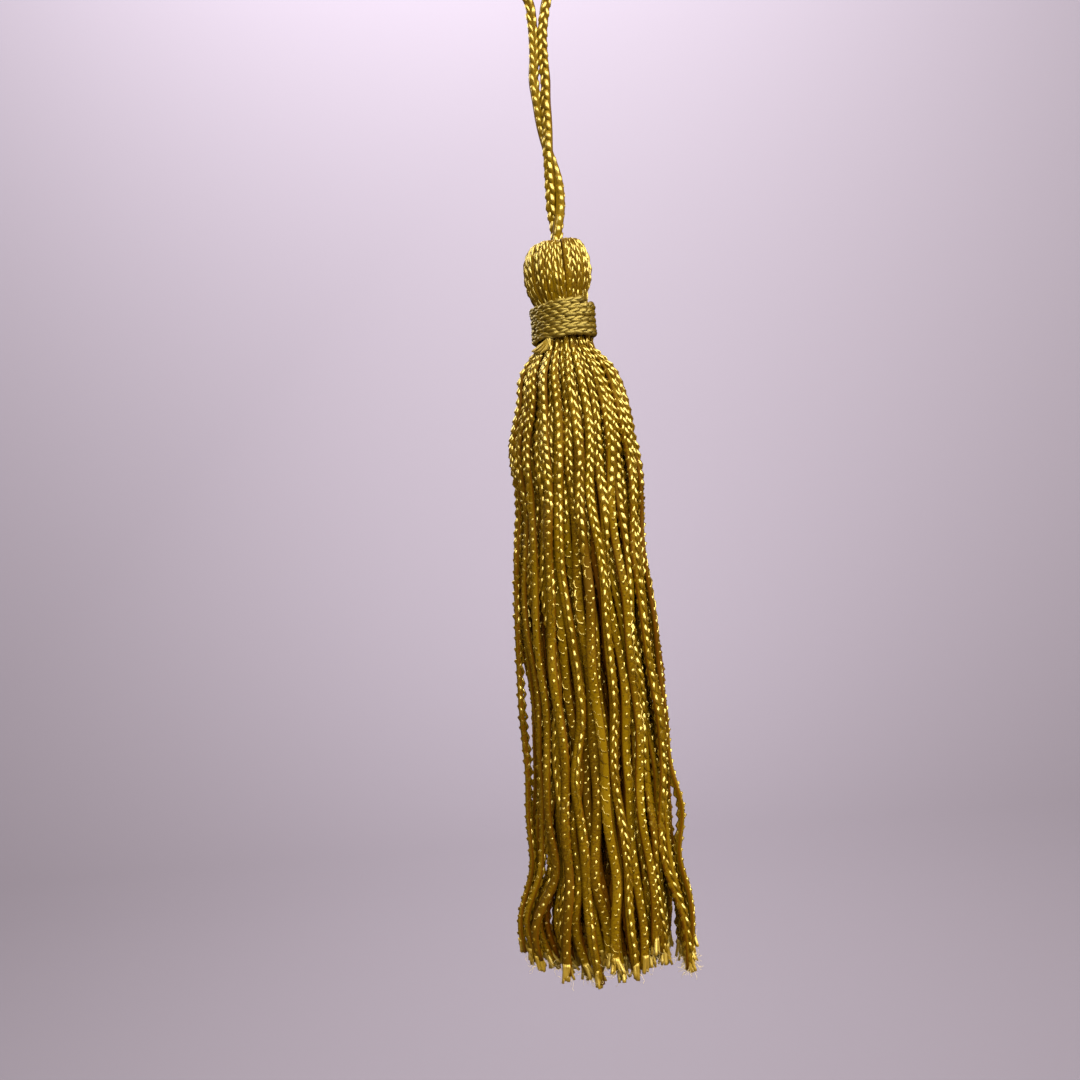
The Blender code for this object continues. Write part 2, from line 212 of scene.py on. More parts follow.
def even_points(route, spacing):
    """Points about that far apart along a smooth curve through the route."""
    route = np.array(route, float)
    along = travelled(route)
    count = max(2, round(along[-1] / spacing)) + 1
    at = np.linspace(0, along[-1], count)
    return np.stack([smooth(along, route[:, k], at) for k in range(3)], axis=1)


# ---- where the strands hang ----


def seats():
    """Each strand's place in the skirt's round plan, of radius 1: spaced evenly, as on a sunflower."""
    i = np.arange(STRANDS)
    radius = np.sqrt((i + 0.5) / STRANDS)
    angle = i * math.pi * (3 - math.sqrt(5))
    return np.stack([radius * np.cos(angle), radius * np.sin(angle)], axis=1)


SEATS = seats()
_random = np.random.default_rng(11)
END_OFFSET = _random.uniform(-END_SCATTER, END_SCATTER, STRANDS)
WANDER_PHASE = _random.uniform(0, TURN, (STRANDS, 4))  # of the four, the first two are used
WANDER_WAVE = _random.uniform(34, 60, (STRANDS, 2))  # length of one wave, in x and in y
START_OFFSET = _random.uniform(0, 1, STRANDS)  # how much higher each strand starts, in stitches
WANDER_REACH = 0.45  # how far a strand waves by itself
SHARED_REACH = 0.7  # how far neighbours wave together
SHARED_WAVE = 58.0  # length of one such wave
SETTLING_STEPS = 120


def parting_shift(x, z, deep):
    """How far the partings push a strand at x and z sideways; deep is its seat's place from front to back."""
    shift = 0.0
    for parting in PARTINGS:
        opened = ramp(-z, -parting["top"], -parting["widest"])
        opened *= 1 - ramp(-z, -parting["widest"], -parting["foot"])
        away = x - parting["x"]
        beside = max(0.0, 1 - abs(away) / PARTING_REACH)
        if parting["front"]:
            beside *= float(ramp(-deep, FRONT_FROM, FRONT_ALL))
        shift += math.copysign(parting["push"], away) * opened * beside
    return shift


def stray_index(stray):
    """The strand whose seat is nearest to a stray's."""
    return int(np.argmin(np.hypot(SEATS[:, 0] - stray["across"], SEATS[:, 1] - stray["deep"])))


STRAY_OF = {stray_index(stray): stray for stray in STRAYS}


def loose_strand(i, z):
    """Where strand i would hang at height z if the others were not there, as (x, y)."""
    u, v = SEATS[i]
    free = ramp(-z, -NECK_FOOT, -NECK_FOOT + FREE_LENGTH)
    x = u * column(SKIRT, "right" if u > 0 else "left", z)
    y = v * column(SKIRT, "depth", z)
    inner = 1 - 0.6 * (u * u + v * v)  # the outermost strands take the least part in the shared waves
    x += SHARED_REACH * free * inner * math.sin(TURN * z / SHARED_WAVE + 2.2 * v + 0.8 * u)
    y += SHARED_REACH * free * inner * math.sin(TURN * z / (1.3 * SHARED_WAVE) + 2.0 * u + 1.0)
    wave = TURN * z / WANDER_WAVE[i] + WANDER_PHASE[i, :2]
    x += WANDER_REACH * free * math.sin(wave[0])
    y += WANDER_REACH * free * math.sin(wave[1])
    x += parting_shift(x, z, v)
    if i in STRAY_OF:
        stray = STRAY_OF[i]
        x += math.copysign(stray["out"], u) * math.exp(-(((z - stray["z"]) / stray["length"]) ** 2))
    return x, y


def apart(z):
    """The least distance between the middles of two strands at height z."""
    width = column(SKIRT, "left", z) + column(SKIRT, "right", z)
    room = math.pi / 2 * width * column(SKIRT, "depth", z) / STRANDS
    return STRAND_ROOM * np.sqrt(room)


def settle(points, least):
    """Eases points that are nearer to one another than least apart, a little at a time."""
    for _ in range(SETTLING_STEPS):
        between = points[:, None] - points[None]
        distance = np.hypot(between[..., 0], between[..., 1])
        np.fill_diagonal(distance, least)
        push = np.clip(least - distance, 0, None) / 4
        points = points + (between * (push / distance)[..., None]).sum(axis=1)
    return points


def lay_out():
    """The middles of all the strands at every station, as an array [station, strand, (x, y)]."""
    rows = []
    for z in STATIONS:
        loose = np.array([loose_strand(i, z) for i in range(STRANDS)])
        rows.append(settle(loose, apart(z)))
    return np.array(rows)


LAYOUT = lay_out()


def strand_end(i):
    """How low strand i hangs."""
    x = LAYOUT[-1, i, 0]
    return float(np.interp(x, [row["x"] for row in ENDS], [row["z"] for row in ENDS])) + END_OFFSET[i]


# ---- the loop's route ----

LEG_POINTS = 24
BIGHT_STEPS = 8


def leg_at(z, side):
    """A point on one of the loop's two legs; side is +1 or -1."""
    angle = TURN * column(LOOP, "turned", z)
    spacing = column(LOOP, "spacing", z) * side
    return [column(LOOP, "x", z) + spacing * math.cos(angle), -spacing * math.sin(angle), z]


def loop_route():
    """The loop's middle line: up one leg, round the bight and down the other."""
    top = LOOP_CORD / 2  # the cord's inner side then bears at the origin
    heights = np.linspace(LOOP_SEAT, LOOP[0]["z"], LEG_POINTS)
    up = [leg_at(z, -1) for z in heights]
    down = [leg_at(z, 1) for z in heights[::-1]]
    centre = top - BIGHT_RADIUS
    arc = []
    for k in range(BIGHT_STEPS + 1):
        angle = math.pi * (1 - k / BIGHT_STEPS)
        arc.append([BIGHT_RADIUS * math.cos(angle), 0.0, centre + BIGHT_RADIUS * math.sin(angle)])
    left, right = ([side * SHOULDER_X, 0.0, centre - SHOULDER_DROP] for side in (-1, 1))
    return up + [left] + arc + [right] + down


# ---- the camera ----

CAMERA_AWAY = 230.0
CAMERA_X, CAMERA_Z = -7.25, -111.16
CAMERA_ROLL = math.radians(4.4)
FRAME_WIDTH = 202.0  # of the picture, at the tassel
SENSOR_WIDTH = 36.0


def link_object(name, data):
    """A new object of that mesh, lamp or camera, in the scene."""
    made = bpy.data.objects.new(name, data)
    bpy.context.scene.collection.objects.link(made)
    return made


def make_camera():
    """The camera that took the photograph: near, straight in front, and rolled a little."""
    data = bpy.data.cameras.new("camera")
    data.sensor_width = SENSOR_WIDTH
    data.lens = SENSOR_WIDTH * CAMERA_AWAY / FRAME_WIDTH
    data.clip_start, data.clip_end = 0.01, 20.0  # metres
    camera = link_object("camera", data)
    c, s = math.cos(CAMERA_ROLL), math.sin(CAMERA_ROLL)
    camera.matrix_world = Matrix(
        (
            (c, s, 0.0, CAMERA_X * MM),
            (0.0, 0.0, -1.0, -CAMERA_AWAY * MM),
            (-s, c, 0.0, CAMERA_Z * MM),
            (0.0, 0.0, 0.0, 1.0),
        )
    )
    bpy.context.scene.camera = camera


# ---- yarn meshes ----


class YarnMesh:
    """Gathers tubes and makes one object of them, with UVs: u round the yarn, v along it in millimetres."""

    def __init__(self):
        self.points, self.quads, self.caps, self.uvs, self.slots = [], [], [], [], []
        self.count = 0

    def add_tube(self, path, radius, sides, offset=0.0, outward=None, thin=1.0, slot=0):
        """A capped tube round the path. Its section is thin times as thick along outward as it is wide.

        offset is the v that the tube starts with, and slot the place of its material in make's list."""
        count = len(path)
        radius = np.broadcast_to(np.asarray(radius, float), (count,))[:, None, None]
        side, up = carried_frame(path) if outward is None else facing_frame(path, outward)
        turn = TURN * np.arange(sides) / sides
        ring = path[:, None] + radius * np.cos(turn)[None, :, None] * side[:, None]
        thin = np.broadcast_to(np.asarray(thin, float), (count,))[:, None, None]
        ring = ring + radius * thin * np.sin(turn)[None, :, None] * up[:, None]
        index = self.count + np.arange(count * sides).reshape(count, sides)
        a, b = index[:-1], index[1:]
        quads = np.stack([a, np.roll(a, -1, axis=1), np.roll(b, -1, axis=1), b], axis=-1).reshape(-1, 4)
        along = travelled(path) + offset
        u0 = np.broadcast_to(np.arange(sides) / sides, (count - 1, sides))
        u1 = u0 + 1 / sides
        v0 = np.broadcast_to(along[:-1, None], (count - 1, sides))
        v1 = np.broadcast_to(along[1:, None], (count - 1, sides))
        corners = [np.stack(corner, -1) for corner in ((u0, v0), (u1, v0), (u1, v1), (u0, v1))]
        self.points.append(ring.reshape(-1, 3))
        self.quads.append(quads)
        self.uvs.append(np.stack(corners, 2).reshape(-1, 2))
        self.slots.append(np.full(len(quads), slot))
        self.caps.append((list(index[0][::-1]), offset, slot))
        self.caps.append((list(index[-1]), along[-1], slot))
        self.count += count * sides

    def make(self, name, materials):
        """The object made of all the tubes, with those materials."""
        points = np.concatenate(self.points) * MM
        quads = np.concatenate(self.quads)
        starts = list(range(0, 4 * len(quads), 4))
        totals = [4] * len(quads)
        loops = list(quads.reshape(-1))
        uvs = [np.concatenate(self.uvs)]
        for cap, v, _ in self.caps:
            starts.append(len(loops))
            totals.append(len(cap))
            loops += cap
            turn = TURN * np.arange(len(cap)) / len(cap)
            uvs.append(np.stack([0.5 + 0.1 * np.cos(turn), v + 0.1 * np.sin(turn)], axis=1))
        mesh = bpy.data.meshes.new(name)
        mesh.vertices.add(len(points))
        mesh.vertices.foreach_set("co", points.reshape(-1))
        mesh.loops.add(len(loops))
        mesh.loops.foreach_set("vertex_index", np.array(loops, dtype=np.int32))
        mesh.polygons.add(len(starts))
        mesh.polygons.foreach_set("loop_start", np.array(starts, dtype=np.int32))
        mesh.polygons.foreach_set("loop_total", np.array(totals, dtype=np.int32))
        mesh.polygons.foreach_set("use_smooth", np.ones(len(starts), dtype=bool))
        slots = np.concatenate(self.slots + [[slot for _, _, slot in self.caps]])
        mesh.polygons.foreach_set("material_index", slots.astype(np.int32))
        layer = mesh.uv_layers.new(name="yarn")
        layer.data.foreach_set("uv", np.concatenate(uvs).astype(np.float32).reshape(-1))
        mesh.update()
        mesh.validate()
        made = link_object(name, mesh)
        for material in materials:
            mesh.materials.append(material)
        return made


def carried_frame(path):
    """Two unit vectors across the path at each point, carried along it without spin."""
    tangent = unit(np.gradient(path, axis=0))
    side = np.empty((len(path), 3))
    first = np.cross(tangent[0], [0.3, 0.2, 0.93])
    if np.linalg.norm(first) < 0.2:
        first = np.cross(tangent[0], [1.0, 0.0, 0.0])
    current = first / np.linalg.norm(first)
    for k, t in enumerate(tangent):
        current = current - t * (current[0] * t[0] + current[1] * t[1] + current[2] * t[2])
        current = current / math.sqrt(current[0] ** 2 + current[1] ** 2 + current[2] ** 2)
        side[k] = current
    return side, np.cross(tangent, side)


def facing_frame(path, outward):
    """Two unit vectors across the path at each point, the second as near to outward as it can be."""
    tangent = unit(np.gradient(path, axis=0))
    for _ in range(3):
        up = outward - tangent * (outward * tangent).sum(axis=1, keepdims=True)
        outward = np.concatenate([up[:1], (up[:-2] + 2 * up[1:-1] + up[2:]) / 4, up[-1:]])
    up = unit(outward - tangent * (outward * tangent).sum(axis=1, keepdims=True))
    return np.cross(up, tangent), up


# ---- the knitted chain ----

# One stitch, for a strand 2 mm wide: across and through it in millimetres, along it in stitches, and the
# yarn's width as a share of YARN_RADIUS. Where deep is well above 0 the yarn makes the two limbs of the knit
# face's V, half a stitch apart, and where it is lowest the small bumps of the purl face.
STITCH = [
    dict(across=-0.14, deep=0.10, along=0.00, full=0.9),
    dict(across=-0.25, deep=0.28, along=0.24, full=1.0),
    dict(across=-0.42, deep=0.47, along=0.58, full=1.1),
    dict(across=-0.58, deep=0.58, along=0.90, full=1.1),
    dict(across=-0.54, deep=0.16, along=1.12, full=0.5),
    dict(across=-0.42, deep=-0.12, along=1.22, full=0.6),
    dict(across=-0.28, deep=-0.45, along=1.30, full=1.2),
    dict(across=0.10, deep=-0.22, along=1.22, full=0.8),
    dict(across=0.46, deep=0.00, along=0.92, full=0.6),
    dict(across=0.54, deep=0.16, along=0.66, full=0.5),
    dict(across=0.58, deep=0.58, along=0.42, full=1.1),
    dict(across=0.42, deep=0.47, along=0.10, full=1.1),
    dict(across=0.25, deep=0.28, along=-0.24, full=1.0),
    dict(across=0.14, deep=0.10, along=-0.48, full=0.9),
    dict(across=0.24, deep=-0.24, along=-0.40, full=0.8),
    dict(across=0.30, deep=-0.45, along=-0.20, full=1.2),
    dict(across=0.20, deep=-0.24, along=0.06, full=0.8),
    dict(across=0.00, deep=-0.16, along=0.60, full=0.8),
]
YARN_RADIUS = 0.39  # across the yarn, in a strand 2 mm wide
YARN_THIN = {"purl": 0.74, "knit": 0.66}  # its thickness on each face of the chain, as a share of its width
FACE_DEPTH = {"purl": -0.5, "knit": 0.4}  # how deep the yarn lies where it has that thickness
STITCH_LENGTH = 2.15  # about, where a strand hangs freely
CURVE_STEPS = 20  # points of the smooth curve from one row of STITCH to the next
LEAST_SPARE = 0.60  # the whole stitches leave at least this much of the path over, in stitches
TAIL_SPARE = 0.55  # how much more of that lies beyond the last stitch than before the first
UNEVEN = {"lean": 0.16, "swell": 0.045, "slip": 0.05}  # how much the stitches' turn, width and place vary
TEMPLATES = {}


def stitch_template(samples):
    """Evenly spaced points of one stitch's yarn: across, deep, along in stitches, and the yarn's width."""
    keys = np.array([[row[name] for name in ("across", "deep", "along", "full")] for row in STITCH])
    step = np.array([0, 0, 1.0, 0])
    around = np.concatenate([keys - step, keys, keys + step, keys[:1] + 2 * step])
    count = len(keys)
    dense = []
    for i in range(count, 2 * count):
        p0, p1, p2, p3 = around[i - 1], around[i], around[i + 1], around[i + 2]
        for t in np.arange(0, 1, 1 / CURVE_STEPS):
            bend = (2 * p0 - 5 * p1 + 4 * p2 - p3) * t**2 + (3 * p1 - p0 - 3 * p2 + p3) * t**3
            dense.append(0.5 * (2 * p1 + (p2 - p0) * t + bend))
    dense = np.array(dense + [around[2 * count]])
    along = travelled(dense[:, :3] * np.array([1, 1, STITCH_LENGTH]))
    at = np.linspace(0, along[-1], samples, endpoint=False)
    return np.stack([np.interp(at, along, dense[:, k]) for k in range(4)], axis=1)


def chain(path, face, roll, scale, stitch, samples, chance, upward=False, flat=1.0, plump=1.0, loose=1.0):
    """The yarn of a knitted chain along a path, as add_tube takes it.

    path has points close together, and face is a direction at each. roll is the angle from face to the
    chain's knit face, scale its width as a share of 2 mm, stitch the stitch's length, flat its depth as a
    share of a free chain's, and plump its yarn's width likewise: each is one number, or one at each point.
    samples counts the points in a stitch, upward says that the stitches run up the path, and loose how
    uneven they are."""
    if samples not in TEMPLATES:
        TEMPLATES[samples] = stitch_template(samples)
    template = TEMPLATES[samples]
    given = [np.broadcast_to(value, (len(path),)) for value in (roll, scale, stitch, flat, plump)]
    if upward:
        path, face = path[::-1], face[::-1]
        given = [values[::-1] for values in given]
    roll, scale, stitch, flat, plump = given
    along = travelled(path)
    counted = np.concatenate([[0], np.cumsum(np.diff(along) / ((stitch[1:] + stitch[:-1]) / 2))])
    stitches = max(2, int(counted[-1] - LEAST_SPARE))
    start = (counted[-1] - stitches - TAIL_SPARE) * 0.5
    yarn = template[None] + np.arange(stitches)[:, None, None] * np.array([0, 0, 1.0, 0])
    yarn = yarn.reshape(-1, 4)
    place = np.clip(start + yarn[:, 2], 0, counted[-1])
    uneven = loose * chance.normal(size=(3, stitches + 3))
    lean, swell, slip = (np.interp(place, np.arange(stitches + 3), row) for row in uneven)
    place = np.clip(place + UNEVEN["slip"] * slip, 0, counted[-1])
    at = np.interp(place, counted, along)
    tangent = unit(np.gradient(path, axis=0))
    face = unit(face - tangent * (face * tangent).sum(axis=1, keepdims=True))
    other = np.cross(tangent, face)

    def read(values):
        """Values that are given at the path's points, at the yarn's points."""
        if values.ndim == 1:
            return np.interp(at, along, values)
        return np.stack([np.interp(at, along, values[:, k]) for k in range(3)], axis=1)

    middle, facing, beside = read(path), unit(read(face)), unit(read(other))
    turn = (read(roll) + UNEVEN["lean"] * lean)[:, None]
    wide = read(scale) * (1 + UNEVEN["swell"] * swell)
    deep = np.cos(turn) * facing + np.sin(turn) * beside
    across = -np.sin(turn) * facing + np.cos(turn) * beside
    away = yarn[:, :1] * across + yarn[:, 1:2] * read(flat)[:, None] * deep
    line = middle + wide[:, None] * away
    radius = YARN_RADIUS * yarn[:, 3] * wide * read(plump)
    outward = away + 0.05 * deep  # which is never nothing, even where the yarn lies in the chain's middle
    thin = np.interp(yarn[:, 1], list(FACE_DEPTH.values()), list(YARN_THIN.values()))
    return dict(path=line, radius=radius, outward=outward, thin=thin)


# ---- materials ----

# The dyed silks: light and dark are where they took less and more dye, and shine is the specular level. dye
# is where on the noise dark and light stand, grain how fine the filaments are round the yarn and along it,
# and sides a painted shade: a darker, redder colour on both sides of a strand's core, in the grooves between
# strands.
CORE_LOOK = dict(roughness=0.6, shine=0.03, grain=(5.0, 1.8))
SILKS = {
    "gold": dict(light=(0.140, 0.074, 0.0003), dark=(0.092, 0.045, 0.0002), roughness=0.26),
    "head_gold": dict(light=(0.130, 0.069, 0.0003), dark=(0.084, 0.041, 0.0002), roughness=0.31),
    "cord_gold": dict(light=(0.185, 0.105, 0.001), dark=(0.125, 0.066, 0.0005), roughness=0.33),
    "pale_gold": dict(light=(0.108, 0.061, 0.0005), dark=(0.052, 0.026, 0.0002), roughness=0.48, shine=0.5),
    "core_gold": dict(
        light=(0.115, 0.064, 0.0003), dark=(0.062, 0.028, 0.0001),
        # sides: a painted shade, darker and redder, at the core's two sides in the grooves between strands
        dye=(0.68, 0.92), sides=(0.070, 0.023, 0.0001), **CORE_LOOK,
    ),
    # a redder copy of core_gold for the deep pieces: a painted glow for light through the silk in the skirt's
    # shaded inside
    "deep_core_painted_glow": dict(
        light=(0.11, 0.040, 0.0002), dark=(0.080, 0.027, 0.0001),
        # sides: a painted shade, darker and redder, at the core's two sides in the grooves between strands
        dye=(0.62, 0.95), sides=(0.075, 0.020, 0.0001), **CORE_LOOK,
    ),
    # a brighter, more orange copy of gold for the deep pieces: a painted glow for light through the silk in
    # the shaded inside
    "deep_gold_painted_glow": dict(light=(0.17, 0.070, 0.0005), dark=(0.11, 0.042, 0.0003), roughness=0.30),
    "cut_gold": dict(light=(0.25, 0.145, 0.006), dark=(0.16, 0.084, 0.002), roughness=0.50),
    "fibre": dict(light=(0.62, 0.50, 0.26), dark=(0.45, 0.34, 0.14), roughness=0.5),
}
SILK_IOR = 2.5
SILK_GLINT = (1.0, 0.80, 0.23, 1.0)  # the tint of its highlights
SLOW_DYE = (0.0, 0.02)  # how fast the dye changes, round the yarn and along it
BUMP_DEPTH = 0.00006  # metres


def yarn_noise(tree, where, stretch, scale, detail):
    """A noise over the yarn's UVs, which changes that many times as fast round the yarn and along it."""
    nodes, links = tree.nodes, tree.links
    mapping = nodes.new("ShaderNodeMapping")
    mapping.inputs["Scale"].default_value = (*stretch, 1.0)
    links.new(where.outputs["UV"], mapping.inputs["Vector"])
    noise = nodes.new("ShaderNodeTexNoise")
    noise.noise_dimensions = "2D"
    noise.inputs["Scale"].default_value = scale
    noise.inputs["Detail"].default_value = detail
    links.new(mapping.outputs["Vector"], noise.inputs["Vector"])
    return noise


def with_painted_groove_shade(tree, where, tint, sides):
    """The tint's colour, with a painted groove shade, another colour, at the two sides of a tube, where u is 0
    and a half.
    """
    nodes, links = tree.nodes, tree.links
    split = nodes.new("ShaderNodeSeparateXYZ")
    links.new(where.outputs["UV"], split.inputs["Vector"])
    twice = nodes.new("ShaderNodeMath")
    twice.operation = "MULTIPLY"
    twice.inputs[1].default_value = 2 * TURN
    links.new(split.outputs["X"], twice.inputs[0])
    wave = nodes.new("ShaderNodeMath")
    wave.operation = "COSINE"
    links.new(twice.outputs["Value"], wave.inputs[0])
    groove_shade = nodes.new("ShaderNodeMapRange")
    groove_shade.inputs["From Min"].default_value = 0.3
    groove_shade.inputs["From Max"].default_value = 1.0
    links.new(wave.outputs["Value"], groove_shade.inputs["Value"])
    # painted groove shade: the sides colour is mixed in at the tube's two sides
    mixed = nodes.new("ShaderNodeMix")
    mixed.data_type = "RGBA"
    mixed.inputs["B"].default_value = (*sides, 1)
    links.new(groove_shade.outputs["Result"], mixed.inputs["Factor"])
    links.new(tint.outputs["Color"], mixed.inputs["A"])
    return mixed.outputs["Result"]


def silk(name, light, dark, roughness, shine=0.75, dye=(0.55, 1.05), grain=(7.0, 0.55), sides=None):
    """Dyed silk yarn: fine lengthwise filaments, a dye that took a little unevenly, and, where sides is given,
    a painted groove shade at a core's two sides.
    """
    material = bpy.data.materials.new(name)
    material.use_nodes = True
    tree = material.node_tree
    nodes, links = tree.nodes, tree.links
    shader = nodes["Principled BSDF"]
    shader.inputs["Roughness"].default_value = roughness
    shader.inputs["IOR"].default_value = SILK_IOR
    shader.inputs["Specular IOR Level"].default_value = shine
    shader.inputs["Specular Tint"].default_value = SILK_GLINT
    shader.inputs["Anisotropic"].default_value = 0.6
    across_yarn = nodes.new("ShaderNodeTangent")
    across_yarn.direction_type = "UV_MAP"
    across_yarn.uv_map = "yarn"
    links.new(across_yarn.outputs["Tangent"], shader.inputs["Tangent"])

    where = nodes.new("ShaderNodeUVMap")
    where.uv_map = "yarn"
    filaments = yarn_noise(tree, where, grain, scale=1.6, detail=3.0)
    slow = yarn_noise(tree, where, SLOW_DYE, scale=1.0, detail=2.0)
    both = nodes.new("ShaderNodeMath")
    both.operation = "MULTIPLY_ADD"
    both.inputs[1].default_value = 0.6
    links.new(filaments.outputs["Fac"], both.inputs[0])
    links.new(slow.outputs["Fac"], both.inputs[2])
    tint = nodes.new("ShaderNodeValToRGB")
    tint.color_ramp.elements[0].position = dye[0]
    tint.color_ramp.elements[0].color = (*dark, 1)
    tint.color_ramp.elements[1].position = dye[1]
    tint.color_ramp.elements[1].color = (*light, 1)
    links.new(both.outputs["Value"], tint.inputs["Fac"])
    # where sides is given, the base colour carries a painted groove shade at the core's two sides
    base = with_painted_groove_shade(tree, where, tint, sides) if sides else tint.outputs["Color"]
    links.new(base, shader.inputs["Base Color"])

    bump = nodes.new("ShaderNodeBump")
    bump.inputs["Strength"].default_value = 0.5
    bump.inputs["Distance"].default_value = BUMP_DEPTH
    links.new(filaments.outputs["Fac"], bump.inputs["Height"])
    links.new(bump.outputs["Normal"], shader.inputs["Normal"])
    return material


# ---- the skirt ----

ROOT_ABOVE = 1.2  # how far above the neck's underside a strand starts, at least
QUIVER = 0.30  # how far it leaves its smooth course in short waves
HALF_TURNED = 0.72  # share of the strands that turn their other face outward below the neck
LEANING = 0.75  # share whose knit face starts well to one side
KNITTED_UP = 0.12  # share whose stitches point up
OUTER = 0.6  # strands seated further out than this have finer tubes
DEEP, DEEPEST = 0.70, 0.50  # seats up to the first are in the two deep pieces, up to the second in the deepest
FULL_ROOM = 1.70  # distance between strands at which a chain's scale is about 1
CORE_WIDE = 0.88  # half-width of a strand's core where its scale is 1


def strand_path(i):
    """The middle line of strand i, a point every half millimetre, from under the binding to its cut end."""
    heights = np.arange(NECK_FOOT + ROOT_ABOVE + STITCH_LENGTH * START_OFFSET[i], strand_end(i), -0.5)
    x = smooth(STATIONS, LAYOUT[:, i, 0], heights)
    y = smooth(STATIONS, LAYOUT[:, i, 1], heights)
    quiver = QUIVER * ramp(NECK_FOOT - heights, 0, 10)
    x = x + quiver * np.sin(TURN * heights / (17 + 0.11 * i) + 2.4 * i)
    y = y + quiver * np.sin(TURN * heights / (21 - 0.08 * i) + 1.7 * i)
    return np.stack([x, y, heights], axis=1)


def skirt_roll(along, chance):
    """The angle from outward to a strand's knit face, at each distance below the neck's underside."""
    if chance.random() < HALF_TURNED:
        turn = math.pi * chance.choice([-1.0, 1.0])
    else:
        turn = chance.uniform(-1.5, 1.5)
    first = chance.choice([-1.0, 1.0])
    first *= chance.uniform(0.3, 0.9) if chance.random() < LEANING else chance.uniform(0, 0.4)
    turned = turn * ramp(along, chance.uniform(12, 24), chance.uniform(32, 56)) + first
    sway = 0.20 + 0.35 * ramp(along, 5, 30)
    return turned + sway * np.sin(TURN * along / chance.uniform(30, 70) + chance.uniform(0, TURN))


def skirt_piece(u, v):
    """Which of the skirt's six pieces the strand seated at (u, v) is in, counted from 0."""
    out = math.hypot(u, v)
    if out > DEEP:
        return int((math.atan2(v, u) + math.pi) / TURN * 4) % 4
    return 5 if out > DEEPEST else 4


def hang_skirt(outer_materials, painted_glow_materials):
    """The cut strands, in six pieces: four by the side of the skirt that they hang on, and two deep ones.

    Each list of materials has the yarn's and then the core's. The deep pieces' list holds brighter, warmer
    copies of the gold: a painted glow for light through the silk in the skirt's shaded inside."""
    chance = np.random.default_rng(5)
    meshes = [YarnMesh() for _ in range(6)]
    for i in range(STRANDS):
        path = strand_path(i)
        along = NECK_FOOT - path[:, 2]
        u, v = SEATS[i]
        face = np.broadcast_to(np.array([u, v, 0.0]) / math.hypot(u, v), path.shape)
        roll = skirt_roll(along, chance)
        free = ramp(along, -2.0, 8.0)
        lower = ramp(along, 20, 50)
        scale = np.clip(apart(path[:, 2]) / FULL_ROOM, 0.50, 1.08)
        scale = scale * (1.15 - 0.15 * lower) * (1 + 0.03 * np.sin(along / 5 + i))
        scale = scale * chance.uniform(0.96, 1.04)
        stitch = STITCH_LENGTH * (0.74 + 0.12 * free + 0.14 * lower) * chance.uniform(0.95, 1.08)
        upward = chance.random() < KNITTED_UP
        flat, plump = 0.60 + 0.28 * lower, 1.20 - 0.32 * lower
        samples, sides = (13, 5) if math.hypot(u, v) > OUTER else (10, 4)
        yarn = chain(path, face, roll, scale, stitch, samples, chance, upward, flat, plump, loose=1.3)
        core_thin = 0.54 + 0.04 * lower
        mesh = meshes[skirt_piece(u, v)]
        mesh.add_tube(**yarn, sides=sides, offset=57.0 * i)
        mesh.add_tube(path[::4], CORE_WIDE * scale[::4], 7, 57.0 * i, face[::4], core_thin[::4], slot=1)
    for k, mesh in enumerate(meshes):
        # the deep pieces take the painted-glow copies of the gold
        piece = mesh.make(f"skirt_strands_{k + 1}", outer_materials if k < 4 else painted_glow_materials)
        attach(piece, BODY)
        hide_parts("silk_bundle")


def bent_fibre(start, way, length, chance, bends, curl):
    """The middle line of a loose fibre or yarn end that sets off along way and wanders."""
    points = [np.array(start, float)]
    way = unit(np.array(way, float))
    for _ in range(bends):
        way = unit(way + curl * chance.normal(size=3))
        points.append(points[-1] + way * length / bends)
    return np.array(points)


YARN_ENDS = 9  # round each cut strand
FUZZ = [-4.5, 12.6]  # the two places, by x, where the cut ends have combed out into a pale fuzz
FUZZ_REACH = 1.6  # how far from such a place a strand still has the fuzz
FUZZ_FIBRES = 16  # how many more fibres it has there


def fray_ends(yarn_material, fibre_material):
    """What a cut strand opens into: short yarn ends round its last stitch, and a few loose fibres."""
    chance = np.random.default_rng(31)
    ends, fibres = YarnMesh(), YarnMesh()
    for i in range(STRANDS):
        path = strand_path(i)
        cut = path[-1]
        down = unit(path[-1] - path[-4])
        side = unit(np.cross(down, [0.0, 1.0, 0.0]))
        up = np.cross(down, side)
        opened = chance.uniform(0.05, 0.35)
        for k in range(YARN_ENDS):
            angle = TURN * (k + chance.uniform(-0.3, 0.3)) / YARN_ENDS
            out = math.cos(angle) * side + math.sin(angle) * up
            start = cut - 2.6 * down + chance.uniform(0.30, 0.55) * out
            way = down + 0.5 * opened * out
            tail = bent_fibre(start, way, chance.uniform(2.5, 3.3), chance, 5, 0.09)
            radius = np.linspace(0.40, chance.uniform(0.26, 0.38), len(tail))
            ends.add_tube(tail, radius, 5, 19.0 * i + k, tail - cut, 0.7)
        fuzzy = min(abs(cut[0] - fuzz) for fuzz in FUZZ) < FUZZ_REACH
        for k in range(int(chance.integers(5, 12)) + (FUZZ_FIBRES if fuzzy else 0)):
            angle = chance.uniform(0, TURN)
            out = math.cos(angle) * side + math.sin(angle) * up
            start = cut - chance.uniform(0.2, 1.2) * down + 0.4 * out
            way = down + chance.uniform(0.3, 1.4) * out
            hair = bent_fibre(start, way, chance.uniform(1.2, 3.6), chance, 9, 0.38)
            fibres.add_tube(hair, chance.uniform(0.018, 0.032), 3, 7.0 * k)
    for piece in (ends.make("cut_yarn_ends", [yarn_material]), fibres.make("loose_fibres", [fibre_material])):
        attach(piece, BODY)
        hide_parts("silk_bundle")


# ---- the binding's cut end ----

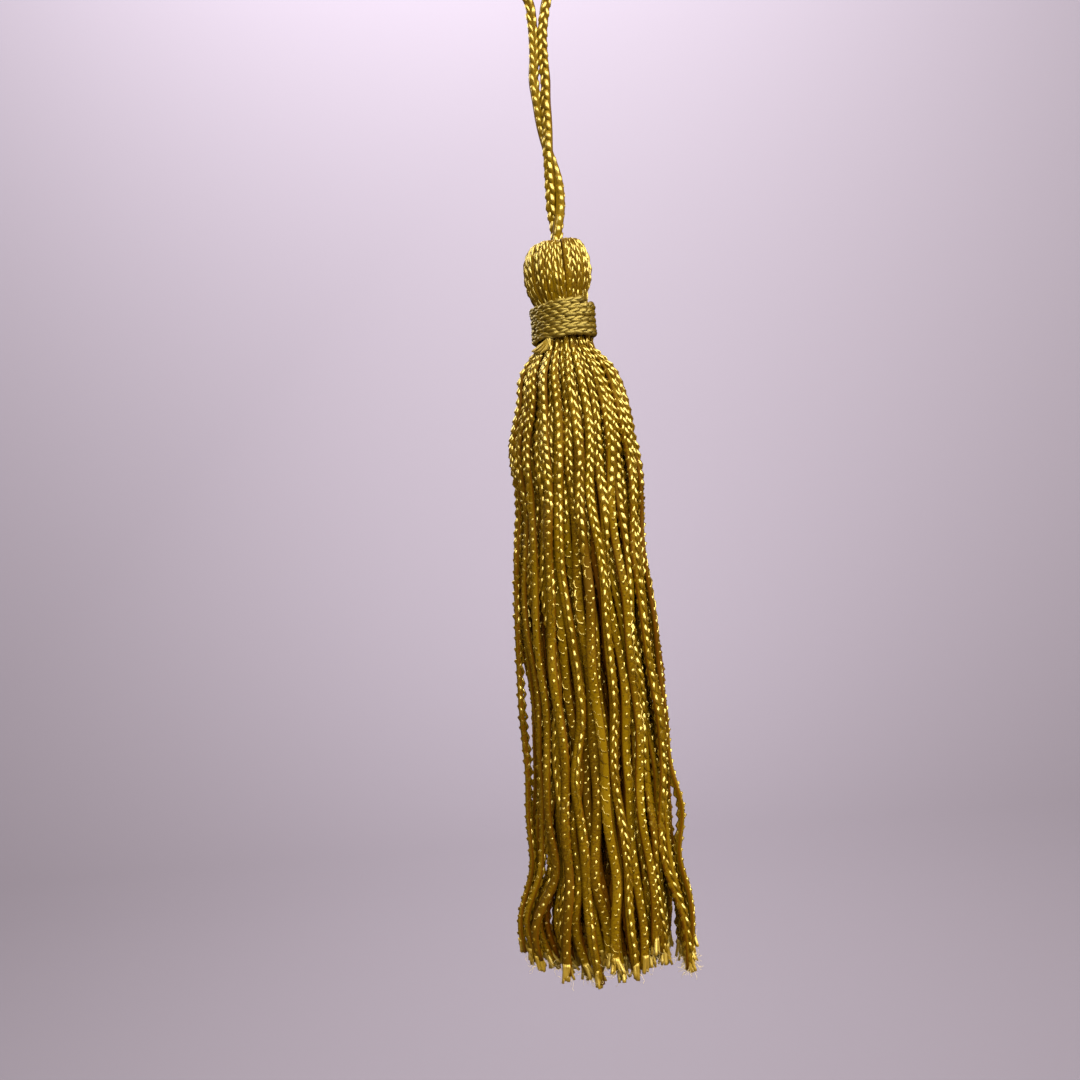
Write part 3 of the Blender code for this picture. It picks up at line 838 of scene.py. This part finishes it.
# Where the combed-out yarns end, and how far each end stands from the plumb line.
TUFT = [
    dict(x=-5.9, z=-75.9, away=5.9),
    dict(x=-5.5, z=-76.5, away=6.1),
    dict(x=-5.0, z=-76.8, away=6.2),
    dict(x=-4.5, z=-77.0, away=6.3),
    dict(x=-4.0, z=-76.9, away=6.2),
    dict(x=-3.4, z=-76.6, away=6.1),
    dict(x=-2.9, z=-76.3, away=6.0),
]
TUFT_ROOT = {"x": -2.3, "y": -4.55, "z": -73.9}  # where they come from, under the lowest turn
TUFT_LAYERS = 3
LOWEST_TURN = 5.75  # how far from the plumb line they pass it


def end_binding(material):
    """The binding cord's cut end, combed out flat where it comes from under the lowest turn."""
    chance = np.random.default_rng(17)
    mesh = YarnMesh()
    for k, row in enumerate(TUFT):
        for layer in range(TUFT_LAYERS):
            x = row["x"] + chance.uniform(-0.25, 0.25)
            z = row["z"] + chance.uniform(-0.3, 0.3)
            away = row["away"] - 0.22 * layer
            y = -math.sqrt(max(0.2, away * away - x * x))
            root_x = TUFT_ROOT["x"] - 0.12 * k + chance.uniform(-0.2, 0.2)
            start = np.array([root_x, TUFT_ROOT["y"], TUFT_ROOT["z"]])
            middle = np.array([0.5 * (start[0] + x) + 0.25, 0, 0.5 * (start[2] + z) - 0.15])
            middle[1] = -math.sqrt(max(0.2, LOWEST_TURN**2 - middle[0] ** 2)) + 0.12 * layer
            bend = np.array([start, 0.5 * (start + middle) + [0, -0.15, 0], middle, [x, y, z]])
            line = even_points(bend, 0.45)
            ripple = 0.07 * np.sin(np.arange(len(line)) * 1.3 + 2 * k + layer)
            line = line + ripple[:, None] * np.array([[1.0, -0.6, 0.4]])
            radius = np.linspace(0.26, chance.uniform(0.12, 0.24), len(line))
            outward = np.broadcast_to([x, y, 0.0], line.shape)
            mesh.add_tube(line, radius, 6, 11.0 * k + 3 * layer, outward, 0.7)
    piece = mesh.make("binding_end", [material])
    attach(piece, BODY)
    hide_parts("neck_binding")


# ---- the head ----

HEAD_STRANDS = 30
HEAD_MIDDLE = (0.0, 0.0, -61.5)
HEAD_STITCH = 2.15
HEAD_SUNK = 0.46  # how far below the head's surface a strand's middle line lies
DIMPLE_SUNK = 0.45  # how much further every second strand lies below it in the dimple
TUCK_TOP, TUCK_FOOT = -69.5, -72.0  # heights at which the strands pass under the binding, and end there
CLEFT = {"deep": 0.16, "wide": 0.2, "foot": -62}  # share of the head's width, radians, and height
PURL_FROM, PURL_TO = 0.12, 0.50  # angles to the right of the front between which strands show their purl face
CORE_SIDES = 48
CORE_INSET = 0.75  # how far the core lies inside the head's surface
CROWN_FOOT = -56.3  # rows of HEAD above this are the crown's, where the core is lowered too


def cleft(angle, z):
    """How deep the crease that parts the head's crown in two is, as a share of the head's width there."""
    away = min(abs(math.remainder(angle - side, TURN)) for side in (math.pi / 2, -math.pi / 2))
    return CLEFT["deep"] * math.exp(-((away / CLEFT["wide"]) ** 2)) if z > CLEFT["foot"] else 0.0


def head_profile(angle):
    """The head's surface in the upright plane at that angle, from the dimple's floor to under the binding."""
    rows = []
    for row in HEAD:
        left = 1 - cleft(angle, row["z"])
        x = row["x"] + row["across"] * left * math.cos(angle)
        y = row["depth"] * left * math.sin(angle)
        rows.append([x, y, row["z"] + row["tilt"] * math.cos(angle)])
    rows = rows[:-1] + [[*rows[-2][:2], TUCK_TOP], [*rows[-1][:2], TUCK_FOOT]]
    return even_points(rows, 0.35)


def wrap_head(material, core_material):
    """The strands that lie over the head, from its dimple down under the binding."""
    chance = np.random.default_rng(21)
    mesh = YarnMesh()
    for k in range(HEAD_STRANDS):
        angle = TURN * (k + chance.uniform(-0.12, 0.12)) / HEAD_STRANDS
        line = head_profile(angle)
        round_about = np.array([-math.sin(angle), math.cos(angle), 0.0])
        normal = unit(np.cross(round_about, unit(np.gradient(line, axis=0))))
        halfway = len(line) // 2
        if ((line[halfway] - np.array(HEAD_MIDDLE)) * normal[halfway]).sum() < 0:
            normal = -normal
        radius = np.hypot(line[:, 0], line[:, 1])
        scale = 0.92 * np.clip(TURN * radius / HEAD_STRANDS / 1.52, 0.50, 1.0)
        sunk = np.full(len(line), HEAD_SUNK)
        if k % 2:
            sunk = (HEAD_SUNK + DIMPLE_SUNK * (1 - ramp(radius, 2.5, 5.0))) * scale / 0.6
        path = line - normal * sunk[:, None]
        purl = PURL_FROM < math.remainder(angle + math.pi / 2, TURN) < PURL_TO
        roll = chance.uniform(-0.5, 0.5) + (math.pi if purl else 0.0) + 0.3 * np.sin(travelled(line) / 4 + k)
        stitch = HEAD_STITCH * chance.uniform(0.92, 1.05)
        lower = ramp(-line[:, 2], 59.5, 64.0)
        upward = chance.random() < 0.5
        plump = 1.12 - 0.28 * lower
        yarn = chain(path, normal, roll, scale, stitch, 14, chance, upward, 0.55, plump, loose=1.5)
        mesh.add_tube(**yarn, sides=6, offset=57.0 * k)
        mesh.add_tube(path[::2], CORE_WIDE * scale[::2], 8, 57.0 * k, normal[::2], 0.52, slot=1)
    piece = mesh.make("head_strands", [material, core_material])
    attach(piece, BODY)
    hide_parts("silk_bundle")


def fill_head(material):
    """The folded strands under the head's outer ones and in the neck, as one closed core."""
    bm = bmesh.new()
    rings = []
    for row in HEAD:
        ring = []
        down = CORE_INSET if row["z"] > CROWN_FOOT else 0.0
        for k in range(CORE_SIDES):
            angle = TURN * k / CORE_SIDES
            left = 1 - 1.3 * cleft(angle, row["z"])
            x = row["x"] + max(0.5, row["across"] - CORE_INSET) * left * math.cos(angle)
            y = max(0.5, row["depth"] - CORE_INSET) * left * math.sin(angle)
            z = row["z"] - down + row["tilt"] * math.cos(angle)
            ring.append(bm.verts.new((x * MM, y * MM, z * MM)))
        rings.append(ring)
    for upper, lower in zip(rings, rings[1:]):
        for k in range(CORE_SIDES):
            after = (k + 1) % CORE_SIDES
            bm.faces.new([upper[k], lower[k], lower[after], upper[after]])
    bm.faces.new(rings[0])
    bm.faces.new(rings[-1][::-1])
    bmesh.ops.recalc_face_normals(bm, faces=bm.faces)
    data = bpy.data.meshes.new("head_core")
    bm.to_mesh(data)
    bm.free()
    data.shade_smooth()
    data.uv_layers.new(name="yarn")
    data.materials.append(material)
    core = link_object("head_core", data)
    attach(core, BODY)
    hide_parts("silk_bundle")


# ---- the binding ----

BINDING_TURNS = 5.5
BINDING_START = 2.6  # the angle at which the lowest turn starts
BINDING_RADIUS = 5.48  # of the cord's middle line
BINDING_SCALE = 0.76
BINDING_STITCH = 1.85
BINDING_CORE = 0.50
TURN_STEPS = 150  # points in one turn
PULL_STEPS = 37  # points from one place to the next where the cord was pulled more or less
PULL_REACH = 0.06  # how far it lies in or out there


def wind_binding(material):
    """The cord wound round the neck: one chain on a slightly uneven helix, round a thin core."""
    chance = np.random.default_rng(8)
    steps = int(BINDING_TURNS * TURN_STEPS)
    share = np.arange(steps + 1) / steps
    angle = TURN * BINDING_TURNS * share + BINDING_START
    height = BINDING_HEIGHT + BINDING_RISE * np.cos(angle)
    z = BINDING_FOOT + height * (0.5 / BINDING_TURNS + (1 - 1 / BINDING_TURNS) * share)
    pulls = np.arange(0, steps + PULL_STEPS, PULL_STEPS)
    uneven = np.interp(np.arange(steps + 1), pulls, chance.uniform(-PULL_REACH, PULL_REACH, len(pulls)))
    radius = BINDING_RADIUS + uneven
    path = np.stack([BINDING_X + radius * np.cos(angle), radius * np.sin(angle), z + 0.6 * uneven], axis=1)
    outward = np.stack([np.cos(angle), np.sin(angle), np.zeros_like(angle)], axis=1)
    scale = BINDING_SCALE + 0.5 * uneven
    roll = 5.0 * uneven
    yarn = chain(path, outward, roll, scale, BINDING_STITCH, 16, chance, flat=0.85, plump=1.35, loose=2.2)
    mesh = YarnMesh()
    mesh.add_tube(**yarn, sides=8)
    mesh.add_tube(path[::6], BINDING_CORE, 6)
    piece = mesh.make("binding_turns", [material])
    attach(piece, BODY)
    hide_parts("neck_binding")


# ---- the hanging loop ----

LOOP_SCALE = 1.16
LOOP_STITCH = 1.95
LOOP_CORE = {"wide": 0.77, "thin": 0.70}  # half-width where the scale is 1, and thickness as a share of width


def make_loop(material, core_material):
    """The hanging loop: one chain cord, from the dimple up round the bight and back."""
    path = even_points(loop_route(), 0.4)
    face = np.broadcast_to(np.array([0.0, -1.0, 0.0]), path.shape)
    along = travelled(path)
    roll = 0.7 * np.sin(along / 13.0) + 0.8 * (1 - ramp(along, 14, 24))
    chance = np.random.default_rng(3)
    yarn = chain(path, face, roll, LOOP_SCALE, LOOP_STITCH, 16, chance, flat=0.76, plump=1.04)
    mesh = YarnMesh()
    mesh.add_tube(**yarn, sides=6)
    mesh.add_tube(path[::2], LOOP_CORE["wide"] * LOOP_SCALE, 10, 0.0, face[::2], LOOP_CORE["thin"], slot=1)
    piece = mesh.make("loop_cord", [material, core_material])
    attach(piece, BODY)
    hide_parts("hanging_loop")


# ---- the stage, in metres ----

SWEEP = {"front": -2.5, "floor": -0.75, "wall": 0.95, "top": 2.4, "bend": 0.35, "half_width": 3.0}
BEND_STEPS = 16
FLOOR_COLOUR = (0.46, 0.43, 0.47, 1)
WALL_COLOUR = (0.156, 0.139, 0.163, 1)
ROOM_COLOUR = (1.0, 0.92, 0.84, 1)
ROOM_STRENGTH = 1.14

TASSEL = (0.0, 0.0, -0.12)  # what the windows shine on
SUN, DAY, COOL = (1.0, 0.97, 0.90), (1.0, 0.97, 0.92), (1.0, 0.98, 1.03)


def area_light(name, at, to, size, watts, colour):
    """A rectangular lamp at one place that shines to another; size is how wide and how tall it is."""
    data = bpy.data.lights.new(name, "AREA")
    data.shape = "RECTANGLE"
    data.size, data.size_y = size
    data.energy = watts
    data.color = colour
    lamp = link_object(name, data)
    lamp.location = at
    lamp.rotation_mode = "QUATERNION"
    lamp.rotation_quaternion = (Vector(to) - Vector(at)).to_track_quat("-Z", "Y")


def sweep_material():
    """A pale floor that turns into the photograph's lilac-grey wall before it bends up."""
    material = bpy.data.materials.new("pale_wall")
    material.use_nodes = True
    nodes, links = material.node_tree.nodes, material.node_tree.links
    shader = nodes["Principled BSDF"]
    place = nodes.new("ShaderNodeTexCoord")
    split = nodes.new("ShaderNodeSeparateXYZ")
    links.new(place.outputs["Object"], split.inputs["Vector"])
    towards_wall = nodes.new("ShaderNodeMapRange")
    towards_wall.interpolation_type = "SMOOTHSTEP"
    towards_wall.inputs["From Min"].default_value = 0.0
    towards_wall.inputs["From Max"].default_value = SWEEP["wall"] - SWEEP["bend"]
    links.new(split.outputs["Y"], towards_wall.inputs["Value"])
    colour = nodes.new("ShaderNodeMix")
    colour.data_type = "RGBA"
    colour.inputs["A"].default_value = FLOOR_COLOUR
    colour.inputs["B"].default_value = WALL_COLOUR
    links.new(towards_wall.outputs["Result"], colour.inputs["Factor"])
    links.new(colour.outputs["Result"], shader.inputs["Base Color"])
    shader.inputs["Roughness"].default_value = 0.9
    shader.inputs["Specular IOR Level"].default_value = 0.1
    return material


def make_sweep():
    """The floor and the wall, as one sheet with a round bend. The silk doesn't mirror it."""
    bm = bmesh.new()
    floor, wall, bend, half = (SWEEP[name] for name in ("floor", "wall", "bend", "half_width"))
    outline = [(SWEEP["front"], floor)]
    for k in range(BEND_STEPS + 1):
        angle = math.pi / 2 * k / BEND_STEPS
        outline.append((wall - bend + bend * math.sin(angle), floor + bend - bend * math.cos(angle)))
    outline.append((wall, SWEEP["top"]))
    rows = [[bm.verts.new((x, y, z)) for y, z in outline] for x in (-half, half)]
    for k in range(len(outline) - 1):
        bm.faces.new([rows[0][k], rows[1][k], rows[1][k + 1], rows[0][k + 1]])
    data = bpy.data.meshes.new("backdrop")
    bm.to_mesh(data)
    bm.free()
    data.shade_smooth()
    backdrop = link_object("backdrop", data)
    data.materials.append(sweep_material())
    backdrop.visible_glossy = False


def set_stage():
    """The sweep, the even light of a pale room, which the silk doesn't mirror, and the soft lamps."""
    make_sweep()
    world = bpy.data.worlds.new("room")
    world.use_nodes = True
    background = world.node_tree.nodes["Background"]
    background.inputs["Color"].default_value = ROOM_COLOUR
    background.inputs["Strength"].default_value = ROOM_STRENGTH
    bpy.context.scene.world = world
    world.cycles_visibility.glossy = False
    area_light("window", (0.20, -0.70, 0.47), TASSEL, (1.1, 0.80), watts=22.0, colour=SUN)
    area_light("side_window", (0.80, -0.30, 0.36), TASSEL, (0.5, 0.6), watts=8.0, colour=DAY)
    area_light("wall_wash", (-0.05, 0.45, 0.85), (-0.05, 0.95, 0.45), (0.7, 0.7), watts=31.0, colour=COOL)
    area_light("low_wash", (0.03, 0.50, -0.24), (0.03, 0.95, 0.0), (0.3, 0.3), watts=2.3, colour=COOL)
    area_light("back_window", (-0.45, 0.45, 0.35), TASSEL, (0.5, 0.5), watts=5.0, colour=DAY)
    bpy.context.scene.view_settings.view_transform = "Standard"


def main():
    """The camera and the cord first, then the other pieces, and the stage."""
    make_camera()
    silks = {name: silk(f"silk_{name}", **row) for name, row in SILKS.items()}
    make_loop(silks["cord_gold"], silks["core_gold"])
    wrap_head(silks["head_gold"], silks["core_gold"])
    fill_head(silks["core_gold"])
    wind_binding(silks["pale_gold"])
    # the deep pieces take the gold's painted-glow copies, warmer and brighter
    hang_skirt([silks["gold"], silks["core_gold"]], [silks["deep_gold_painted_glow"], silks["deep_core_painted_glow"]])
    fray_ends(silks["cut_gold"], silks["fibre"])
    end_binding(silks["cut_gold"])
    set_stage()


main()
